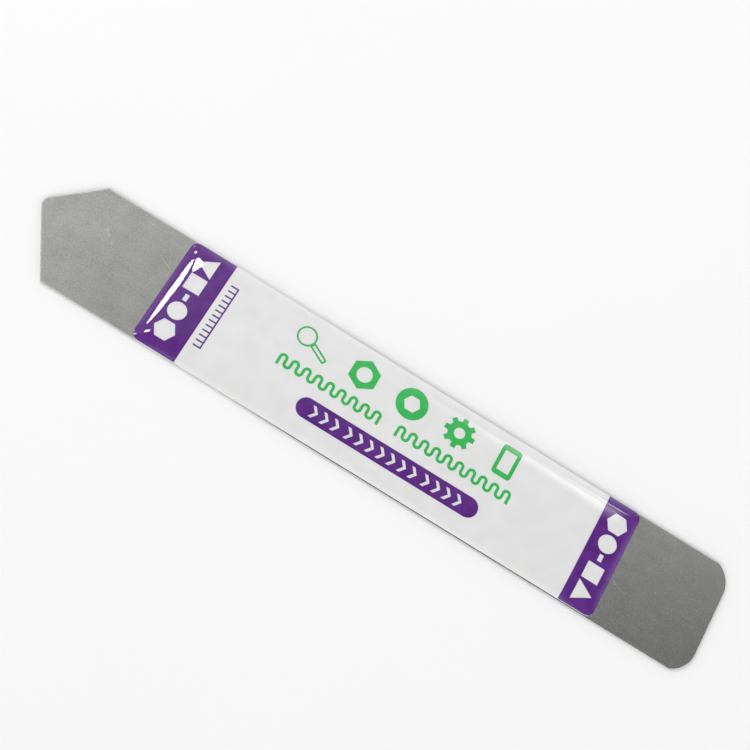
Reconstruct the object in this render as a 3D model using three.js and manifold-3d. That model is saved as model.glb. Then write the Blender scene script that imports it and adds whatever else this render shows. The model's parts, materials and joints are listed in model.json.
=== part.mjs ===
// A spudger for opening handheld devices: a flat strip of spring steel with a pointed end and a
// square end, and a printed label under clear domed resin on one of its two faces.
//
// Millimetres. +X runs along the strip towards its square end, +Y runs across it and +Z points
// out of the labelled face. The origin is at the middle of the strip's length and width, on the
// bare underside, which is the face that rests on a bench.

import * as THREE from "three";
import { mergeVertices } from "three/addons/utils/BufferGeometryUtils.js";
import Module from "manifold-3d";

// ---- Driving dimensions: the blade ----
const BLADE_LENGTH = 127.3;
const BLADE_WIDTH = 20;
const BLADE_THICKNESS = 0.5;
// Each corner arc runs tangent into the end edge, and meets the long edge at a slight bend.
const SQUARE_END_CORNER_RADIUS = 4.64;
const SQUARE_END_CORNER_LENGTH = 2.7;
// The point is lopsided: its apex lies off the centreline, and its two edges slope differently.
const APEX_OFFSET_Y = 2.24;
const APEX_RADIUS = 1.7;
const UPPER_EDGE_SLOPE = THREE.MathUtils.degToRad(44.2);
const LOWER_EDGE_SLOPE = THREE.MathUtils.degToRad(57.9);

// ---- Driving dimensions: the label, whose own centre is the origin of everything printed ----
const LABEL_LENGTH = 85.8;
const LABEL_WIDTH = 19.9;
const LABEL_CORNER_RADIUS = 1.4;
const LABEL_CENTRE_X = 3.05;
const ADHESIVE_THICKNESS = 0.05;
const FILM_THICKNESS = 0.1;
const INK_THICKNESS = 0.03;
const DOME_EDGE_HEIGHT = 0.2;
const DOME_RISE = 1;
const DOME_SHOULDER = 1.3;

// ---- Driving dimensions: the print ----
const POINT_BAND_LENGTH = 8.1;
const SQUARE_BAND_LENGTH = 6.2;
// The figures left white in each band stand in a row, whose own middle is x = 0.
const FIGURES = {
  hexagon: { x: -6.1, radius: 1.9 },
  disc: { x: -2.3, radius: 1.6 },
  dash: { x: 0.4, length: 1.3, height: 0.75 },
  square: { x: 3.25, side: 3 },
  triangle: { x: 7, y: -0.45, radius: 2.1 },
};
const TITLE_BAR = { x: 1.95, y: -4.87, length: 33.7, height: 3.53 };
const CHEVRON = { height: 2.1, depth: 0.8, stroke: 0.6, pitch: 2 };
const CHEVRON_GROUPS = [
  { x: -12.4, count: 3 },
  { x: -5.9, count: 7 },
  { x: 8.5, count: 4 },
];
const MEANDER = { y: 0.05, height: 2.3, pitch: 1.1, stroke: 0.5 };
const MEANDER_START_X = { first: -21.3, second: 0.95 };
const MEANDER_LEGS = { first: 18, second: 20 };
const PICTOGRAM_Y = 5.25;
const PICTOGRAM_FIRST_X = -7.95;
const PICTOGRAM_PITCH = 9.03;
const PICTOGRAM_RADIUS = 2.75;
const NUT_BORE_RADIUS = 1.35;
const SCREW_SOCKET_RADIUS = 1.5;
const COG = { teeth: 8, rootRadius: 2.05, boreRadius: 0.95, tipShare: 0.4, rootShare: 0.6 };
const HANDSET = { width: 3.5, height: 5.5, cornerRadius: 0.6, screenWidth: 2.2, screenHeight: 3.7 };
const MAGNIFIER = {
  x: -19.1,
  y: 5.75,
  tilt: THREE.MathUtils.degToRad(-28),
  lensRadius: 1.75,
  handleLength: 3.6,
  handleWidth: 1.05,
  handleCornerRadius: 0.3,
  hollowCornerRadius: 0.1,
  stroke: 0.3,
};
const SCALE = { x: -32.4, ticks: 13, pitch: 1, height: 1.5, stroke: 0.25, centreY: 0.3 };

const HEXAGON_SIDES = 6;
const TRIANGLE_SIDES = 3;
const ARC_STEPS = 16;
const CIRCLE_STEPS = 64;
const HALF_TURN_STEPS = 12;
const DOME_SHOULDER_STEPS = 8;

const wasm = await Module();
wasm.setup();

// ---- Outlines: each is a list of points, anticlockwise or clockwise, not closed ----

// Corners are [x, y, radius]; an arc that is tangent to both sides rounds each corner.
function roundedCorners(corners) {
  return corners.flatMap(([x, y, radius], i) => {
    const corner = new THREE.Vector2(x, y);
    if (radius === 0) return [corner];
    const [beforeX, beforeY] = corners.at(i - 1);
    const [afterX, afterY] = corners[(i + 1) % corners.length];
    const back = new THREE.Vector2(beforeX, beforeY).sub(corner).normalize();
    const on = new THREE.Vector2(afterX, afterY).sub(corner).normalize();
    const halfAngle = Math.acos(back.dot(on)) / 2;
    const centre = back.clone().add(on).setLength(radius / Math.sin(halfAngle)).add(corner);
    const reach = radius / Math.tan(halfAngle);
    const start = corner.clone().addScaledVector(back, reach).sub(centre);
    const end = corner.clone().addScaledVector(on, reach).sub(centre);
    const clockwise = back.cross(on) > 0;
    const arc = new THREE.ArcCurve(centre.x, centre.y, radius, start.angle(), end.angle(), clockwise);
    return arc.getPoints(ARC_STEPS);
  });
}

function rectangle(length, width, radius) {
  return roundedCorners([
    [length / 2, -width / 2, radius],
    [length / 2, width / 2, radius],
    [-length / 2, width / 2, radius],
    [-length / 2, -width / 2, radius],
  ]);
}

function regularPolygon(sides, radius, turn = 0) {
  return Array.from({ length: sides }, (_, i) => polar(radius, turn + (i * 2 * Math.PI) / sides));
}

function circle(radius) {
  return regularPolygon(CIRCLE_STEPS, radius);
}

function polar(radius, angle) {
  return new THREE.Vector2(radius * Math.cos(angle), radius * Math.sin(angle));
}

function placed(points, x, y, turn = 0) {
  const pivot = new THREE.Vector2();
  return points.map((point) => point.clone().rotateAround(pivot, turn).add(new THREE.Vector2(x, y)));
}

// ---- Solids ----

function prism(outline, thickness) {
  return new THREE.ExtrudeGeometry(new THREE.Shape(outline), { depth: thickness, bevelEnabled: false });
}

// A flat plate of the outline, pierced by the holes, standing on its own z = 0.
function plate(outline, holes, thickness) {
  const blank = prism(outline, thickness);
  if (holes.length === 0) return blank;
  const cutters = holes.map((hole) => prism(hole, 3 * thickness).translate(0, 0, -thickness));
  return toGeometry(cutters.reduce((solid, cutter) => solid.subtract(toSolid(cutter)), toSolid(blank)));
}

function toSolid(geometry) {
  const bare = geometry.clone();
  bare.deleteAttribute("normal");
  bare.deleteAttribute("uv");
  const merged = mergeVertices(bare);
  const vertProperties = merged.getAttribute("position").array;
  const triVerts = new Uint32Array(merged.index.array);
  return new wasm.Manifold(new wasm.Mesh({ numProp: 3, vertProperties, triVerts }));
}

function toGeometry(solid) {
  const { vertProperties, triVerts } = solid.getMesh();
  const geometry = new THREE.BufferGeometry();
  geometry.setAttribute("position", new THREE.BufferAttribute(vertProperties, 3));
  geometry.setIndex(new THREE.BufferAttribute(triVerts, 1));
  geometry.computeVertexNormals();
  return geometry;
}

function piece(name, geometry, material, z) {
  const mesh = new THREE.Mesh(geometry, material);
  mesh.name = name;
  mesh.position.z = z;
  return mesh;
}

// ---- Materials ----

function steel() {
  return new THREE.MeshStandardMaterial({ color: 0x9d9d99, roughness: 0.45, metalness: 1 });
}

function adhesive() {
  return new THREE.MeshStandardMaterial({ color: 0xd9d6cc, roughness: 0.6, metalness: 0 });
}

function film() {
  return new THREE.MeshStandardMaterial({ color: 0xf1f1f2, roughness: 0.5, metalness: 0 });
}

function purpleInk() {
  return new THREE.MeshStandardMaterial({ color: 0x5a2c8c, roughness: 0.5, metalness: 0 });
}

function greenInk() {
  return new THREE.MeshStandardMaterial({ color: 0x35b062, roughness: 0.5, metalness: 0 });
}

function clearResin() {
  return new THREE.MeshStandardMaterial({
    color: 0xffffff,
    roughness: 0.05,
    metalness: 0,
    transparent: true,
    opacity: 0.2,
  });
}

// ---- The blade ----

function squareEnd() {
  const radius = SQUARE_END_CORNER_RADIUS;
  const sweep = Math.acos(1 - SQUARE_END_CORNER_LENGTH / radius);
  const centreX = BLADE_LENGTH / 2 - radius;
  const centreY = BLADE_WIDTH / 2 - radius * Math.sin(sweep);
  const lowerArc = new THREE.ArcCurve(centreX, -centreY, radius, -sweep, 0);
  const upperArc = new THREE.ArcCurve(centreX, centreY, radius, 0, sweep);
  return [...lowerArc.getPoints(ARC_STEPS), ...upperArc.getPoints(ARC_STEPS)];
}

// Rounding takes a little off the sharp apex, so the sharp apex starts that much beyond the end.
function pointEnd() {
  const halfAngle = (UPPER_EDGE_SLOPE + LOWER_EDGE_SLOPE) / 2;
  const tilt = (LOWER_EDGE_SLOPE - UPPER_EDGE_SLOPE) / 2;
  const trimmed = APEX_RADIUS * (Math.cos(tilt) / Math.sin(halfAngle) - 1);
  const edgeY = BLADE_WIDTH / 2;
  const apexX = -BLADE_LENGTH / 2 - trimmed;
  const upperShoulderX = apexX + (edgeY - APEX_OFFSET_Y) / Math.tan(UPPER_EDGE_SLOPE);
  const lowerShoulderX = apexX + (edgeY + APEX_OFFSET_Y) / Math.tan(LOWER_EDGE_SLOPE);
  return roundedCorners([
    [upperShoulderX, edgeY, 0],
    [apexX, APEX_OFFSET_Y, APEX_RADIUS],
    [lowerShoulderX, -edgeY, 0],
  ]);
}

function blade() {
  return piece("blade", plate([...squareEnd(), ...pointEnd()], [], BLADE_THICKNESS), steel(), 0);
}

// ---- The label's layers, from the steel upwards ----

const FILM_Z = ADHESIVE_THICKNESS;
const INK_Z = FILM_Z + FILM_THICKNESS;
const DOME_Z = INK_Z + INK_THICKNESS;

function labelOutline() {
  return rectangle(LABEL_LENGTH, LABEL_WIDTH, LABEL_CORNER_RADIUS);
}

function labelAdhesive() {
  return piece("label_adhesive", plate(labelOutline(), [], ADHESIVE_THICKNESS), adhesive(), 0);
}

function labelFilm() {
  return piece("label_film", plate(labelOutline(), [], FILM_THICKNESS), film(), FILM_Z);
}

// The resin is a slab with rounded shoulders above and below, cut in half at its middle height.
function labelDome() {
  const slab = new THREE.ExtrudeGeometry(new THREE.Shape(labelOutline()), {
    depth: 2 * DOME_EDGE_HEIGHT,
    bevelThickness: DOME_RISE,
    bevelSize: DOME_SHOULDER,
    bevelOffset: -DOME_SHOULDER,
    bevelSegments: DOME_SHOULDER_STEPS,
  });
  slab.translate(0, 0, -DOME_EDGE_HEIGHT);
  const lowerHalf = new THREE.BoxGeometry(2 * LABEL_LENGTH, 2 * LABEL_WIDTH, LABEL_WIDTH);
  lowerHalf.translate(0, 0, -LABEL_WIDTH / 2);
  const dome = toSolid(slab).subtract(toSolid(lowerHalf));
  return piece("label_dome", toGeometry(dome), clearResin(), DOME_Z);
}

// ---- The print: purple bands with a row of plain figures left white ----

// The row of white figures, read along its own +X: hexagon, disc, dash, square, triangle.
function figureRow() {
  const { hexagon, disc, dash, square, triangle } = FIGURES;
  const up = Math.PI / 2;
  return [
    placed(regularPolygon(HEXAGON_SIDES, hexagon.radius, up), hexagon.x, 0),
    placed(circle(disc.radius), disc.x, 0),
    placed(rectangle(dash.length, dash.height, 0), dash.x, 0),
    placed(rectangle(square.side, square.side, 0), square.x, 0),
    placed(regularPolygon(TRIANGLE_SIDES, triangle.radius, up), triangle.x, triangle.y),
  ];
}

// A band across one end of the label; end is -1 at the blade's point and +1 at its square end.
function band(name, length, end) {
  const outerX = (end * LABEL_LENGTH) / 2;
  const innerX = outerX - end * length;
  const edgeY = LABEL_WIDTH / 2;
  const outline = roundedCorners([
    [outerX, -edgeY, LABEL_CORNER_RADIUS],
    [outerX, edgeY, LABEL_CORNER_RADIUS],
    [innerX, edgeY, 0],
    [innerX, -edgeY, 0],
  ]);
  const readAcross = (-end * Math.PI) / 2;
  const figures = figureRow().map((hole) => placed(hole, (outerX + innerX) / 2, 0, readAcross));
  return piece(name, plate(outline, figures, INK_THICKNESS), purpleInk(), INK_Z);
}

// ---- The print: title bar ----

function chevron() {
  const { height, depth, stroke } = CHEVRON;
  return [
    new THREE.Vector2(0, height / 2),
    new THREE.Vector2(stroke, height / 2),
    new THREE.Vector2(stroke + depth, 0),
    new THREE.Vector2(stroke, -height / 2),
    new THREE.Vector2(0, -height / 2),
    new THREE.Vector2(depth, 0),
  ];
}

function titleBar() {
  const { x, y, length, height } = TITLE_BAR;
  const endX = (length - height) / 2;
  const right = new THREE.ArcCurve(endX, 0, height / 2, -Math.PI / 2, Math.PI / 2, false);
  const left = new THREE.ArcCurve(-endX, 0, height / 2, Math.PI / 2, (3 * Math.PI) / 2, false);
  const steps = 2 * ARC_STEPS;
  const outline = placed([...right.getPoints(steps), ...left.getPoints(steps)], x, y);
  const chevrons = CHEVRON_GROUPS.flatMap((group) =>
    Array.from({ length: group.count }, (_, i) => placed(chevron(), group.x + i * CHEVRON.pitch, y)),
  );
  return piece("ink_title_bar", plate(outline, chevrons, INK_THICKNESS), purpleInk(), INK_Z);
}

// ---- The print: short graduated scale beside the band at the point, in whole millimetres ----

function graduatedScale() {
  const { x, ticks, pitch, height, stroke, centreY } = SCALE;
  const firstY = centreY - ((ticks - 1) * pitch) / 2;
  const lastY = firstY + (ticks - 1) * pitch;
  const comb = [new THREE.Vector2(x, lastY + stroke / 2), new THREE.Vector2(x, firstY - stroke / 2)];
  for (let i = 0; i < ticks; i += 1) {
    const y = firstY + i * pitch;
    comb.push(new THREE.Vector2(x - height, y - stroke / 2));
    comb.push(new THREE.Vector2(x - height, y + stroke / 2));
    if (i < ticks - 1) {
      comb.push(new THREE.Vector2(x - stroke, y + stroke / 2));
      comb.push(new THREE.Vector2(x - stroke, y + pitch - stroke / 2));
    }
  }
  return piece("ink_graduated_scale", plate(comb, [], INK_THICKNESS), purpleInk(), INK_Z);
}

// ---- The print: green line of two meanders ----

// One side of a stroke that climbs a leg, turns over the top, drops down the next leg, turns under
// and so on; side is +1 for the left side of the stroke and -1 for its right side.
function meanderSide(legs, side) {
  const { height, pitch, stroke } = MEANDER;
  const bend = pitch / 2;
  const halfStroke = stroke / 2;
  const topY = height / 2 - bend - halfStroke;
  const points = [new THREE.Vector2(-side * halfStroke, -height / 2)];
  for (let i = 0; i < legs - 1; i += 1) {
    const overTop = i % 2 === 0;
    const radius = bend + (overTop ? side : -side) * halfStroke;
    const centreX = i * pitch + bend;
    const centreY = overTop ? topY : -topY;
    const endAngle = overTop ? 0 : 2 * Math.PI;
    const turn = new THREE.ArcCurve(centreX, centreY, radius, Math.PI, endAngle, overTop);
    points.push(...turn.getPoints(HALF_TURN_STEPS));
  }
  points.push(new THREE.Vector2((legs - 1) * pitch + side * halfStroke, -height / 2));
  return points;
}

function meander(name, legs, startX) {
  const outline = [...meanderSide(legs, 1), ...meanderSide(legs, -1).reverse()];
  const stroke = placed(outline, startX + MEANDER.stroke / 2, MEANDER.y);
  return piece(name, plate(stroke, [], INK_THICKNESS), greenInk(), INK_Z);
}

// ---- The print: green pictograms ----

function nutPictogram() {
  const outline = regularPolygon(HEXAGON_SIDES, PICTOGRAM_RADIUS, Math.PI / 2);
  return plate(outline, [circle(NUT_BORE_RADIUS)], INK_THICKNESS);
}

function socketScrewPictogram() {
  const socket = regularPolygon(HEXAGON_SIDES, SCREW_SOCKET_RADIUS);
  return plate(circle(PICTOGRAM_RADIUS), [socket], INK_THICKNESS);
}

// tipShare and rootShare are how much of one tooth's pitch its tip and its root take up.
function cogPictogram() {
  const { teeth, rootRadius, boreRadius, tipShare, rootShare } = COG;
  const step = (2 * Math.PI) / teeth;
  const halfTip = (tipShare * step) / 2;
  const halfRoot = (rootShare * step) / 2;
  const outline = Array.from({ length: teeth }, (_, i) => [
    polar(rootRadius, i * step - halfRoot),
    polar(PICTOGRAM_RADIUS, i * step - halfTip),
    polar(PICTOGRAM_RADIUS, i * step + halfTip),
    polar(rootRadius, i * step + halfRoot),
  ]).flat();
  return plate(outline, [circle(boreRadius)], INK_THICKNESS);
}

function handsetPictogram() {
  const { width, height, cornerRadius, screenWidth, screenHeight } = HANDSET;
  const outline = rectangle(width, height, cornerRadius);
  return plate(outline, [rectangle(screenWidth, screenHeight, 0)], INK_THICKNESS);
}

function pictograms() {
  const geometries = {
    ink_pictogram_nut: nutPictogram(),
    ink_pictogram_socket_screw: socketScrewPictogram(),
    ink_pictogram_cog: cogPictogram(),
    ink_pictogram_handset: handsetPictogram(),
  };
  return Object.entries(geometries).map(([name, geometry], i) => {
    geometry.translate(PICTOGRAM_FIRST_X + i * PICTOGRAM_PITCH, PICTOGRAM_Y, 0);
    return piece(name, geometry, greenInk(), INK_Z);
  });
}

// ---- The print: magnifier in thin outline ----

function magnifier() {
  const { x, y, tilt, lensRadius, handleLength, handleWidth, stroke } = MAGNIFIER;
  const handleX = lensRadius + handleLength / 2 - stroke / 2;
  const outer = rectangle(handleLength, handleWidth, MAGNIFIER.handleCornerRadius);
  const hollow = rectangle(
    handleLength - 2 * stroke,
    handleWidth - 2 * stroke,
    MAGNIFIER.hollowCornerRadius,
  );
  const lens = toSolid(plate(circle(lensRadius), [circle(lensRadius - stroke)], INK_THICKNESS));
  const handle = toSolid(
    plate(placed(outer, handleX, 0), [placed(hollow, handleX, 0)], INK_THICKNESS),
  );
  const geometry = toGeometry(lens.add(handle)).rotateZ(tilt).translate(x, y, 0);
  return piece("ink_magnifier_outline", geometry, greenInk(), INK_Z);
}

// ---- Assembly ----

function label() {
  const group = new THREE.Group();
  group.position.set(LABEL_CENTRE_X, 0, BLADE_THICKNESS);
  group.add(
    labelAdhesive(),
    labelFilm(),
    labelDome(),
    band("ink_band_point_end", POINT_BAND_LENGTH, -1),
    band("ink_band_square_end", SQUARE_BAND_LENGTH, 1),
    titleBar(),
    graduatedScale(),
    meander("ink_meander_first", MEANDER_LEGS.first, MEANDER_START_X.first),
    meander("ink_meander_second", MEANDER_LEGS.second, MEANDER_START_X.second),
    magnifier(),
    ...pictograms(),
  );
  return group;
}

const spudger = new THREE.Group();
spudger.add(blade(), label());

export default spudger;
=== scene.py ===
"""Looks of the spudger: satin steel blade, printed label and clear domed resin, in a small studio.

Everything is in metres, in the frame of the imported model: +X along the blade towards its square
end, +Y across it, +Z out of the labelled face, with the bare underside on z = 0.
"""

import json
import math

import bmesh
import bpy
import numpy as np
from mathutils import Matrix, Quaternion, Vector


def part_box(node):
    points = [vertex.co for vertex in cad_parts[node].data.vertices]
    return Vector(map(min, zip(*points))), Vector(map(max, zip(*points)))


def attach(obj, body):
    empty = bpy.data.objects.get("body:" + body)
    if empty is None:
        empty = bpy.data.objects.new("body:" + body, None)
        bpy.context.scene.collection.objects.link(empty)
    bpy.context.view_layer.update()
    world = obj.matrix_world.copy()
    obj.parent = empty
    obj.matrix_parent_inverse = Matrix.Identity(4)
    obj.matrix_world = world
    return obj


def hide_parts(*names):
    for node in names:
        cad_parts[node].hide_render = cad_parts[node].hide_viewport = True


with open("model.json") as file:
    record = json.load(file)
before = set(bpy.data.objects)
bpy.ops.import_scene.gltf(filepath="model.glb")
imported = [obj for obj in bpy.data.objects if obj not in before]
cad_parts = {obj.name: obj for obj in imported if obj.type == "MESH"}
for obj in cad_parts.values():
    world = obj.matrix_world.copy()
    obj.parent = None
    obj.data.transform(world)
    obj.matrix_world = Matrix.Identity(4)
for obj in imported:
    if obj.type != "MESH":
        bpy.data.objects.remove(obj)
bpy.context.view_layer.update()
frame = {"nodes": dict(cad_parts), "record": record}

MM = 0.001

# ---- Fine surface of the blade, which the CAD leaves plain ----
BLADE_MERGE_DISTANCE = 0.001 * MM
BLADE_FLAT_BEND = math.radians(1)
BLADE_CUT_EDGE_BEND = math.radians(20)
BLADE_EDGE_ROUNDING = 0.06 * MM
BLADE_EDGE_SEGMENTS = 3
BLADE_WORN_MARGIN = 0.45 * MM
ROUND_PROFILE = 0.5
UPRIGHT_NORMAL_Z = 0.99

# ---- Cut sides: a painted bright reflection up to the first place, fading out by the second, with painted dark shade beyond ----
SIDE_REFLECTION_FULL_UP_TO_X = -24 * MM
SIDE_REFLECTION_GONE_BY_X = -6 * MM

# ---- Fine surface of the resin ----
RESIN_SUNK_INTO_FILM = 0.03 * MM
RESIN_SIDE_INSET = 0.05 * MM
RESIN_RIM_HEIGHT = 0.16 * MM
RESIN_CLIMB_AT_ENDS = 1.92 * MM
RESIN_CLIMB_AT_SIDES = 1.27 * MM
RESIN_CORNER_RADIUS = 1.35 * MM
RESIN_EDGE_ZONE = 4 * MM
RESIN_EDGE_STEP = 0.1 * MM
RESIN_STEP_GROWTH = 1.12
RESIN_MIDDLE_STEP_ALONG = 1.2 * MM
RESIN_MIDDLE_STEP_ACROSS = 0.6 * MM
RESIN_RIM_BEND = math.radians(50)
UNDER_RESIN_SPECULAR = 0.06

# ---- Studio. A lean runs from 1 along an axis to -1 against it. ----
FLOOR_HALF = 3.0
FLOOR_GAP = 0.02 * MM
LAMP_DISTANCE = 800 * MM
FILL_SPREAD = math.radians(60)
TENT_OPENING = (0.1, 0.15, 1)
TENT_WALL_LEANS = (0.45, 0.8)
TENT_WALL_LIGHT = 1.12
TENT_OVERHEAD_LEANS = (0.55, 0.85)
TENT_BRIGHT_SIDE = (-0.6, 0.8, 0)
TENT_BRIGHT_LEANS = (0.16, 0.44)
TENT_BRIGHT_LIGHT = 0.57

# ---- Camera, as angles about the label's middle ----
CAMERA_LENS_MM = 79.2
CAMERA_SENSOR_MM = 36.0
CAMERA_DISTANCE = 268.0 * MM
CAMERA_ELEVATION = 66.66
CAMERA_AZIMUTH = -2.68
CAMERA_ROLL = 34.08
CAMERA_AIM_FROM_LABEL = Vector((-6.5 * MM, 6.4 * MM, 0))


# ---------------------------------------------------------------- node trees


class Nodes:
    """Short calls for adding nodes to the tree of a material, a lamp or the world. A value may be
    a plain number or vector, or the output of another node."""

    def __init__(self, tree):
        self.tree = tree

    def add(self, kind, inputs=None, **settings):
        node = self.tree.nodes.new(kind)
        for name, value in settings.items():
            setattr(node, name, value)
        for name, value in (inputs or {}).items():
            self.feed(node.inputs[name], value)
        return node

    def feed(self, socket, value):
        if isinstance(value, bpy.types.NodeSocket):
            self.tree.links.new(value, socket)
        else:
            socket.default_value = value

    def math(self, operation, *values):
        node = self.add("ShaderNodeMath", dict(enumerate(values)), operation=operation)
        return node.outputs[0]

    def product(self, first, second):
        return self.math("MULTIPLY", first, second)

    def spread(self, value, low, high, to_low, to_high, curve="LINEAR"):
        """Maps low..high to to_low..to_high and holds the end values outside that range."""
        inputs = {0: value, 1: low, 2: high, 3: to_low, 4: to_high}
        node = self.add("ShaderNodeMapRange", inputs, clamp=True, interpolation_type=curve)
        return node.outputs[0]

    def parts(self, vector):
        return self.add("ShaderNodeSeparateXYZ", {0: vector}).outputs


class Finish(Nodes):
    """One new material, whose patterns sit in the object's own space."""

    def __init__(self, name):
        self.material = bpy.data.materials.new(name)
        self.material.use_nodes = True
        super().__init__(self.material.node_tree)
        self.tree.nodes.clear()
        self.output = self.add("ShaderNodeOutputMaterial")
        self.position = self.add("ShaderNodeTexCoord").outputs["Object"]

    def noise(self, per_mm, detail=2.0, stretch=(1, 1, 1), roughness=0.5):
        scale = [per_mm / MM * s for s in stretch]
        place = self.add("ShaderNodeMapping", {"Vector": self.position, "Scale": scale})
        inputs = {"Vector": place.outputs[0], "Scale": 1.0, "Detail": detail, "Roughness": roughness}
        return self.add("ShaderNodeTexNoise", inputs).outputs["Fac"]

    def clouds(self, per_mm, contrast=0.4, **settings):
        """Noise whose middle range, as wide as the contrast, is drawn out to the full 0 to 1."""
        low = 0.5 - contrast / 2
        high = 0.5 + contrast / 2
        return self.spread(self.noise(per_mm, **settings), low, high, 0, 1)

    def mix(self, share, first, second):
        """A colour between two colours. The mix node holds its colours in sockets 6 and 7."""
        node = self.add("ShaderNodeMix", {0: share, 6: first, 7: second}, data_type="RGBA")
        return node.outputs[2]

    def blend(self, share, first, second):
        """A number between two numbers, which the mix node holds in sockets 2 and 3."""
        node = self.add("ShaderNodeMix", {0: share, 2: first, 3: second}, data_type="FLOAT")
        return node.outputs[0]

    def scratches(self, per_mm, turn, width):
        """Thin scattered lines: the level set of a long-stretched noise, cut into short runs."""
        turned = self.add("ShaderNodeMapping", {"Vector": self.position, "Rotation": (0, 0, turn)})
        drawn_out = [per_mm / MM * s for s in (0.05, 1, 1)]
        place = self.add("ShaderNodeMapping", {"Vector": turned.outputs[0], "Scale": drawn_out})
        field = self.add("ShaderNodeTexNoise", {"Vector": place.outputs[0], "Scale": 1.0, "Detail": 1.0})
        from_level = self.math("ABSOLUTE", self.math("SUBTRACT", field.outputs["Fac"], 0.5))
        line = self.spread(from_level, 0, width, 1, 0)
        runs = self.spread(self.noise(0.35, detail=2), 0.54, 0.62, 0, 1)
        return self.product(line, runs)

    def bump(self, height, distance, strength=1.0, normal=None):
        inputs = {"Height": height, "Distance": distance, "Strength": strength}
        if normal is not None:
            inputs["Normal"] = normal
        return self.add("ShaderNodeBump", inputs).outputs[0]

    def principled(self, inputs):
        shader = self.add("ShaderNodeBsdfPrincipled", inputs)
        self.feed(self.output.inputs["Surface"], shader.outputs[0])
        return shader


def srgb(red, green, blue):
    """An sRGB colour, each part 0 to 255, as the linear colour that nodes take."""

    def linear(part):
        part = part / 255
        return part / 12.92 if part <= 0.04045 else ((part + 0.055) / 1.055) ** 2.4

    return (linear(red), linear(green), linear(blue), 1.0)


def grey(level, warmth=0):
    """A near-neutral sRGB colour; warmth lowers the blue part."""
    return srgb(level, level, level - warmth)


# ---------------------------------------------------------------- materials


def cut_side_painted_light(n):
    """The cut sides: painted dark shade along most of the blade, and a painted bright reflection towards
    the point.
    """
    along = n.parts(n.position)[0]
    # Share of the painted bright reflection: full towards the point, gone further along.
    painted_reflection_share = n.spread(along, SIDE_REFLECTION_FULL_UP_TO_X, SIDE_REFLECTION_GONE_BY_X, 1, 0)
    # Painted shade: a dark colour for cut sides that stand in shade.
    scale = n.mix(n.clouds(1.2, detail=3), grey(44, 2), grey(78, 4))
    return n.mix(painted_reflection_share, scale, grey(226, 2))


def on_cut_side(n):
    """1 on the blade's upright sides, 0 on its two flats."""
    facing = n.parts(n.add("ShaderNodeNewGeometry").outputs["True Normal"])[2]
    return n.spread(n.math("ABSOLUTE", facing), 0.25, 0.6, 1, 0)


def steel():
    """Spring steel: a fine blasted grain under faint clouds and smears, with a few scratches, and
    brighter, smoother metal where the edges have worn."""
    n = Finish("blade_steel")
    cloud = n.clouds(0.16, detail=5, roughness=0.6)
    smear = n.clouds(0.45, contrast=0.3, detail=5, stretch=(0.6, 1, 1))
    grain = n.clouds(3.6, contrast=0.28, detail=4, roughness=0.75)
    speck = n.spread(n.noise(9, detail=2), 0.66, 0.74, 0, 1)
    rubs = n.clouds(3.0, contrast=0.3, detail=3, stretch=(0.05, 1, 1))
    scratch = n.scratches(0.7, math.radians(24), 0.009)
    worn = n.add("ShaderNodeAttribute", attribute_name="worn").outputs["Fac"]
    patches = n.spread(n.noise(0.5, detail=2), 0.3, 0.7, 0.85, 1.15)
    wear = n.spread(n.product(worn, patches), 0.5, 1.05, 0, 1)
    colour = n.mix(cloud, grey(153, 4), grey(169, 5))
    colour = n.mix(n.product(smear, 0.35), colour, grey(184, 4))
    colour = n.mix(n.product(grain, 0.5), colour, grey(206, 4))
    colour = n.mix(n.product(speck, 0.4), colour, grey(226, 2))
    colour = n.mix(n.product(rubs, 0.06), colour, grey(120, 1))
    colour = n.mix(n.product(scratch, 0.42), colour, grey(226, 2))
    colour = n.mix(n.product(wear, 0.5), colour, grey(222, 2))
    # The cut sides are painted: dark shade, and a bright reflection towards the point.
    colour = n.mix(on_cut_side(n), colour, cut_side_painted_light(n))
    roughness = n.spread(cloud, 0, 1, 0.37, 0.32)
    roughness = n.blend(n.product(smear, 0.5), roughness, 0.3)
    roughness = n.blend(wear, roughness, 0.26)
    normal = n.bump(grain, 0.01 * MM, n.spread(wear, 0, 1, 1, 0.15))
    normal = n.bump(rubs, 0.0012 * MM, 0.5, normal)
    normal = n.bump(scratch, -0.004 * MM, 0.7, normal)
    n.principled({"Base Color": colour, "Metallic": 1.0, "Roughness": roughness, "Normal": normal})
    return n.material


def adhesive():
    """Tacky off-white glue."""
    n = Finish("label_adhesive")
    cloud = n.noise(1.5, detail=3)
    colour = n.mix(cloud, srgb(205, 202, 190), srgb(224, 222, 212))
    roughness = n.spread(cloud, 0.3, 0.7, 0.35, 0.55)
    n.principled({"Base Color": colour, "Roughness": roughness, "Normal": n.bump(cloud, 0.004 * MM)})
    return n.material


def film():
    """White vinyl with the faint unevenness of a printed white."""
    n = Finish("label_film")
    cloud = n.clouds(0.35, detail=5)
    n.principled(
        {
            "Base Color": n.mix(cloud, grey(232), grey(238)),
            "Roughness": n.spread(cloud, 0, 1, 0.5, 0.6),
            "Specular IOR Level": UNDER_RESIN_SPECULAR,
            "Normal": n.bump(n.noise(8, detail=3), 0.001 * MM),
        }
    )
    return n.material


def ink(name, dark, light):
    """Printed ink: the colour wanders a little, and a fine grain of dots shows close to."""
    n = Finish(name)
    cloud = n.clouds(0.5, detail=4)
    grain = n.spread(n.noise(12, detail=1), 0.35, 0.65, 0, 0.35)
    colour = n.mix(cloud, dark, light)
    colour = n.mix(grain, colour, light)
    n.principled(
        {
            "Base Color": colour,
            "Roughness": n.spread(cloud, 0, 1, 0.45, 0.55),
            "Specular IOR Level": UNDER_RESIN_SPECULAR,
            "Normal": n.bump(grain, 0.002 * MM),
        }
    )
    return n.material


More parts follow.
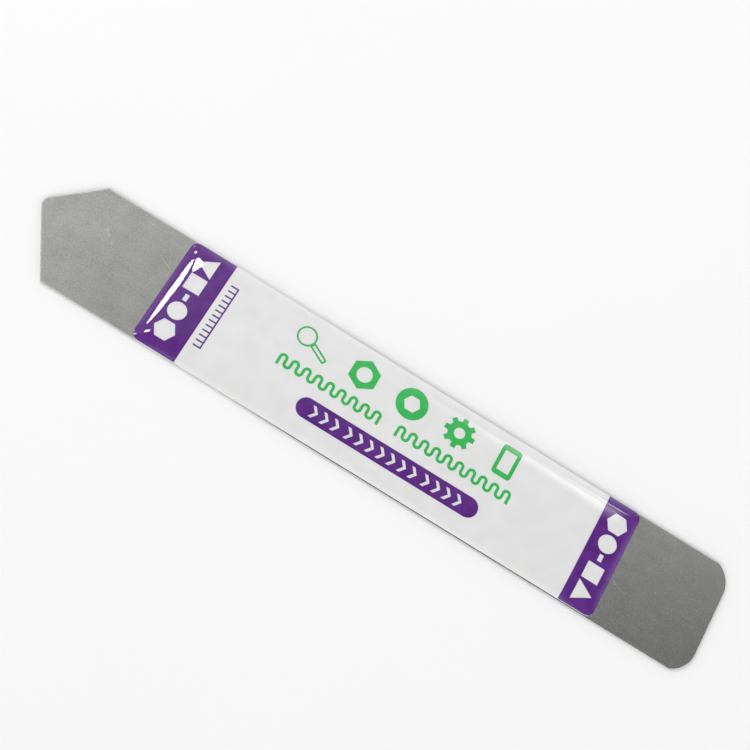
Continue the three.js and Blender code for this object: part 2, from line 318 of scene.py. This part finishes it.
def resin():
    """Clear cast resin. What the camera sees through it bends, while light on its way to the
    print and back passes straight, as if every surface below it were lit through the open face."""
    n = Finish("label_resin")
    wave = n.noise(0.25, detail=1)
    glass = n.principled(
        {
            "Base Color": srgb(253, 253, 252),
            "Roughness": n.spread(wave, 0.3, 0.7, 0.01, 0.03),
            "IOR": 1.5,
            "Transmission Weight": 1.0,
            "Normal": n.bump(wave, 0.02 * MM, 0.3),
        }
    )
    clear = n.add("ShaderNodeBsdfTransparent", {"Color": (0.95, 0.95, 0.95, 1)})
    path = n.add("ShaderNodeLightPath").outputs
    passing = n.math("MAXIMUM", path["Is Shadow Ray"], path["Is Diffuse Ray"])
    mixed = n.add("ShaderNodeMixShader", {0: passing, 1: glass.outputs[0], 2: clear.outputs[0]})
    n.feed(n.output.inputs["Surface"], mixed.outputs[0])
    return n.material


# ---------------------------------------------------------------- pieces


def give(piece, material):
    piece.data.materials.clear()
    piece.data.materials.append(material)


def show(mesh, material, node):
    """Puts the mesh in the scene as the piece that stands for one CAD node."""
    piece = bpy.data.objects.new(mesh.name, mesh)
    bpy.context.scene.collection.objects.link(piece)
    give(piece, material)
    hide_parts(node)
    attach(piece, "root")
    return piece


def settle_face_order(shape):
    """Sorts the faces, since bevelling makes the same ones in another order each run. No two faces
    begin with the same two corners."""
    shape.verts.index_update()
    count = len(shape.verts)
    shape.faces.sort(key=lambda face: face.verts[0].index * count + face.verts[1].index)


def blade_piece(material):
    """The blade with its cut edges slightly rounded, as tumbling leaves them."""
    shape = bmesh.new()
    shape.from_mesh(frame["nodes"]["blade"].data)
    bmesh.ops.remove_doubles(shape, verts=shape.verts, dist=BLADE_MERGE_DISTANCE)
    bmesh.ops.dissolve_limit(
        shape, angle_limit=BLADE_FLAT_BEND, verts=shape.verts, edges=shape.edges
    )
    cut_edges = [edge for edge in shape.edges if edge.calc_face_angle(0) > BLADE_CUT_EDGE_BEND]
    bmesh.ops.bevel(
        shape,
        geom=cut_edges,
        offset=BLADE_EDGE_ROUNDING,
        segments=BLADE_EDGE_SEGMENTS,
        profile=ROUND_PROFILE,
        affect="EDGES",
    )
    flats = [face for face in shape.faces if abs(face.normal.z) > UPRIGHT_NORMAL_Z]
    for face in shape.faces:
        face.smooth = face not in flats
    bmesh.ops.inset_individual(shape, faces=flats, thickness=BLADE_WORN_MARGIN, use_even_offset=True)
    worn = shape.verts.layers.float.new("worn")
    for corner in shape.verts:
        corner[worn] = 1.0
    for face in flats:
        for corner in face.verts:
            corner[worn] = 0.0
    settle_face_order(shape)
    mesh = bpy.data.meshes.new("blade_steel")
    shape.to_mesh(mesh)
    shape.free()
    return show(mesh, material, "blade")


def eased_stations(half, middle_step):
    """Places from -half to +half: evenly fine in both edge zones, then wider apart by degrees."""
    near = np.linspace(0, RESIN_EDGE_ZONE, round(RESIN_EDGE_ZONE / RESIN_EDGE_STEP) + 1)
    steps = [RESIN_EDGE_STEP * RESIN_STEP_GROWTH]
    while near[-1] + sum(steps) < half:
        steps.append(min(steps[-1] * RESIN_STEP_GROWTH, middle_step))
    rest = np.cumsum(steps)
    rest = rest * (half - near[-1]) / rest[-1]
    from_edge = np.concatenate([near, near[-1] + rest])
    return np.concatenate([from_edge - half, (half - from_edge[:-1])[::-1]])


def round_the_corners(x, y, half_x, half_y, radius):
    """Moves the points of each square corner patch onto a quarter disc of the given radius."""
    over_x = np.maximum(np.abs(x) - (half_x - radius), 0)
    over_y = np.maximum(np.abs(y) - (half_y - radius), 0)
    in_corner = (over_x > 0) & (over_y > 0)
    reach = np.where(in_corner, np.hypot(over_x, over_y), 1)
    shrink = np.where(in_corner, np.maximum(over_x, over_y) / reach, 1)
    x = x - np.sign(x) * over_x * (1 - shrink)
    y = y - np.sign(y) * over_y * (1 - shrink)
    return x, y


def resin_height(x, y, half_x, half_y, rise):
    """Surface tension holds the resin at the rim, and it climbs to its full depth inside it."""
    from_end = np.maximum(half_x - np.abs(x), 0)
    from_side = np.maximum(half_y - np.abs(y), 0)
    climb_x = 1 - np.exp(-from_end / RESIN_CLIMB_AT_ENDS)
    climb_y = 1 - np.exp(-from_side / RESIN_CLIMB_AT_SIDES)
    return rise * climb_x * climb_y


def closed_between(top, bottom):
    """Vertices and faces of the closed shell between two grids of points, one above the other."""
    columns, rows = top.shape[:2]

    def at(i, j, layer=0):
        return (layer * columns + i) * rows + j

    faces = []
    for i in range(columns - 1):
        for j in range(rows - 1):
            quad = [(i, j), (i + 1, j), (i + 1, j + 1), (i, j + 1)]
            faces.append([at(*corner) for corner in quad])
            faces.append([at(*corner, layer=1) for corner in reversed(quad)])
    rim = [(i, 0) for i in range(columns)]
    rim += [(columns - 1, j) for j in range(1, rows)]
    rim += [(i, rows - 1) for i in range(columns - 2, -1, -1)]
    rim += [(0, j) for j in range(rows - 2, 0, -1)]
    for here, following in zip(rim, rim[1:] + rim[:1]):
        faces.append([at(*here, layer=1), at(*following, layer=1), at(*following), at(*here)])
    points = np.concatenate([top.reshape(-1, 3), bottom.reshape(-1, 3)])
    return points.tolist(), faces


def dome_piece(material):
    """The cast resin as one closed shell, sunk a hair into the film so that no air lies between."""
    film_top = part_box("label_film")[1].z
    low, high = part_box("label_dome")
    half_x = (high.x - low.x) / 2 - RESIN_SIDE_INSET
    half_y = (high.y - low.y) / 2 - RESIN_SIDE_INSET
    middle = (low + high) / 2
    rim_z = film_top + RESIN_RIM_HEIGHT
    columns = eased_stations(half_x, RESIN_MIDDLE_STEP_ALONG)
    rows = eased_stations(half_y, RESIN_MIDDLE_STEP_ACROSS)
    x, y = np.meshgrid(columns, rows, indexing="ij")
    x, y = round_the_corners(x, y, half_x, half_y, RESIN_CORNER_RADIUS)
    top_z = rim_z + resin_height(x, y, half_x, half_y, high.z - rim_z)
    bottom_z = np.full_like(top_z, film_top - RESIN_SUNK_INTO_FILM)
    x, y = x + middle.x, y + middle.y
    points, faces = closed_between(np.stack([x, y, top_z], -1), np.stack([x, y, bottom_z], -1))
    mesh = bpy.data.meshes.new("label_resin")
    mesh.from_pydata(points, [], faces)
    mesh.polygons.foreach_set("use_smooth", [True] * len(mesh.polygons))
    mesh.set_sharp_from_angle(angle=RESIN_RIM_BEND)
    return show(mesh, material, "label_dome")


def dress_cad_nodes():
    """The flat layers and printed areas keep their CAD shape and get their real materials."""
    by_slot = {
        "label_adhesive": adhesive(),
        "label_film": film(),
        "purple_ink": ink("purple_ink", srgb(85, 37, 121), srgb(104, 53, 142)),
        "green_ink": ink("green_ink", srgb(54, 180, 86), srgb(66, 190, 98)),
    }
    for part in frame["record"]["subparts"]:
        material = by_slot.get(part["material_slot"])
        if material is not None:
            give(frame["nodes"][part["node"]], material)


# ---------------------------------------------------------------- studio


def label_middle():
    low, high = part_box("label_film")
    return Vector(((low.x + high.x) / 2, (low.y + high.y) / 2, high.z))


def towards(azimuth, elevation):
    """The direction at these angles in degrees; azimuth turns from +Y towards +X."""
    azimuth, elevation = math.radians(azimuth), math.radians(elevation)
    level = math.cos(elevation)
    return Vector((math.sin(azimuth) * level, math.cos(azimuth) * level, math.sin(elevation)))


def floor():
    n = Finish("studio_floor")
    cloud = n.noise(0.02, detail=2)
    colour = n.mix(cloud, grey(248), grey(250))
    n.principled({"Base Color": colour, "Roughness": 0.8, "Specular IOR Level": 0.1})
    square = ((-1, -1), (1, -1), (1, 1), (-1, 1))
    corners = [(x * FLOOR_HALF, y * FLOOR_HALF, 0) for x, y in square]
    mesh = bpy.data.meshes.new("floor")
    mesh.from_pydata(corners, [], [range(4)])
    piece = bpy.data.objects.new("floor", mesh)
    piece.location.z = -FLOOR_GAP
    bpy.context.scene.collection.objects.link(piece)
    give(piece, n.material)


def aim(holder, direction, roll=0):
    """Turns a lamp or camera on this side of the object to look at it."""
    holder.rotation_mode = "QUATERNION"
    facing = (-direction).to_track_quat("-Z", "Y")
    holder.rotation_quaternion = facing @ Quaternion((0, 0, 1), math.radians(roll))
    bpy.context.scene.collection.objects.link(holder)


def fade_to_edges(lamp):
    """Lets the lamp grow dim from its middle to its edges."""
    lamp.use_nodes = True
    n = Nodes(lamp.node_tree)
    place = n.parts(n.add("ShaderNodeNewGeometry").outputs["Parametric"])
    fades = []
    for part in place[0], place[1]:
        from_middle = n.math("ABSOLUTE", n.math("SUBTRACT", part, 0.5))
        fades.append(n.spread(from_middle, 0, 0.5, 1, 0, curve="SMOOTHSTEP"))
    n.feed(lamp.node_tree.nodes["Emission"].inputs["Strength"], n.product(*fades))


def softbox(
    name, azimuth, elevation, width, height, radiance, roll=0, faded=False, only_on=None, not_on=None
):
    """A flat lamp that faces the label's middle. Width and height are how many degrees wide and
    tall it looks from there. A lamp for one piece only is an oval, and another lamp can leave one
    piece out."""
    direction = towards(azimuth, elevation)
    lamp = bpy.data.lights.new(name, "AREA")
    lamp.shape = "RECTANGLE" if only_on is None else "ELLIPSE"
    lamp.size = 2 * LAMP_DISTANCE * math.tan(math.radians(width / 2))
    lamp.size_y = 2 * LAMP_DISTANCE * math.tan(math.radians(height / 2))
    share_of_its_box = 1 if only_on is None else math.pi / 4
    area = lamp.size * lamp.size_y * share_of_its_box
    lamp.energy = radiance * math.pi * area
    if faded:
        fade_to_edges(lamp)
    holder = bpy.data.objects.new(name, lamp)
    holder.location = label_middle() + direction * LAMP_DISTANCE
    aim(holder, direction, roll)
    if only_on is not None:
        link_light(holder, only_on, "INCLUDE")
    if not_on is not None:
        link_light(holder, not_on, "EXCLUDE")


def link_light(holder, piece, link_state):
    """Lets the lamp light this piece alone, or every piece but this one."""
    named = bpy.data.collections.new(holder.name + "_receivers")
    named.objects.link(piece)
    named.collection_objects[0].light_linking.link_state = link_state
    holder.light_linking.receiver_collection = named


def fill(name, azimuth, elevation, strength):
    """A wide, even light that shows in no reflection."""
    lamp = bpy.data.lights.new(name, "SUN")
    lamp.energy = strength
    lamp.angle = FILL_SPREAD
    holder = bpy.data.objects.new(name, lamp)
    holder.visible_glossy = False
    holder.visible_transmission = False
    aim(holder, towards(azimuth, elevation))


def surroundings():
    """A white tent round the object, open and darker overhead, where the camera looks in. It is
    lighter on the side of the lamps, so flat steel shades off along the blade."""
    world = bpy.data.worlds.new("studio")
    world.use_nodes = True
    n = Nodes(world.node_tree)
    direction = n.add("ShaderNodeTexCoord").outputs["Generated"]

    def lean(axis):
        """How far the direction leans towards the axis: 1 along it and -1 against it."""
        inputs = {0: direction, 1: Vector(axis).normalized()}
        return n.add("ShaderNodeVectorMath", inputs, operation="DOT_PRODUCT").outputs["Value"]

    def eased(value, limits, to_low, to_high):
        return n.spread(value, *limits, to_low, to_high, curve="SMOOTHSTEP")

    upwards = lean(TENT_OPENING)
    walls = eased(upwards, TENT_WALL_LEANS, TENT_WALL_LIGHT, 0)
    overhead = eased(upwards, TENT_OVERHEAD_LEANS, 0, 1)
    bright_side = eased(lean(TENT_BRIGHT_SIDE), TENT_BRIGHT_LEANS, 0, TENT_BRIGHT_LIGHT)
    strength = n.math("ADD", walls, n.product(overhead, bright_side))
    background = world.node_tree.nodes["Background"]
    n.feed(background.inputs["Color"], (1, 1, 1, 1))
    n.feed(background.inputs["Strength"], strength)
    bpy.context.scene.world = world


def camera():
    data = bpy.data.cameras.new("camera")
    data.lens = CAMERA_LENS_MM
    data.sensor_width = CAMERA_SENSOR_MM
    data.clip_start = 10 * MM
    holder = bpy.data.objects.new("camera", data)
    direction = towards(180 - CAMERA_AZIMUTH, CAMERA_ELEVATION)
    holder.location = label_middle() + CAMERA_AIM_FROM_LABEL + direction * CAMERA_DISTANCE
    aim(holder, direction, CAMERA_ROLL)
    bpy.context.scene.camera = holder


def general_light(steel_piece):
    """Fills, the key whose streak lies across the resin, and a low lamp for the far side. The key
    would burn the steel out in some views, so the steel has a softer one of its own."""
    key = {"width": 12, "height": 6.4, "radiance": 26.5, "roll": -29}
    fill("front_fill", azimuth=180, elevation=30, strength=1.3)
    fill("right_fill", azimuth=95, elevation=30, strength=0.6)
    softbox("key", -57.9, 46.8, not_on=steel_piece, **key)
    softbox("back_low", 22, 38, width=20, height=8, radiance=9, faded=True)


def steel_light(steel_piece):
    """The steel's own key, a glow at its far edge, and a pale ceiling for the view from above."""
    ceiling = {"width": 50, "height": 58, "radiance": 1.5, "faded": True}
    softbox("blade_key", -47, 54, width=28, height=20, radiance=1.72, only_on=steel_piece)
    softbox("blade_glow", 22, 46, width=18, height=9, radiance=6.4, only_on=steel_piece)
    softbox("blade_overhead", 180, 72, only_on=steel_piece, **ceiling)


def resin_light(resin_piece):
    """The glare along the far side, the fleck beside the streak, and a glint in each corner of the
    resin at the point."""
    glare = {"width": 26, "height": 22, "radiance": 5, "faded": True}
    fleck = {"width": 9.6, "height": 8.3, "radiance": 26, "roll": -42}
    far_glint = {"width": 5, "height": 1.8, "radiance": 40, "roll": -6.5}
    near_glint = {"width": 6, "height": 5.4, "radiance": 26, "roll": 10.6}
    softbox("back_high", 22, 50, only_on=resin_piece, **glare)
    softbox("glint_inner", -39.5, 52.4, only_on=resin_piece, **fleck)
    softbox("glint_back_corner", -44.4, 41.7, only_on=resin_piece, **far_glint)
    softbox("glint_front_corner", -75.4, 62, only_on=resin_piece, **near_glint)


def studio(steel_piece, resin_piece):
    floor()
    surroundings()
    general_light(steel_piece)
    steel_light(steel_piece)
    resin_light(resin_piece)
    camera()
    bpy.context.scene.view_settings.view_transform = "Standard"


strip = blade_piece(steel())
dome = dome_piece(resin())
dress_cad_nodes()
studio(strip, dome)
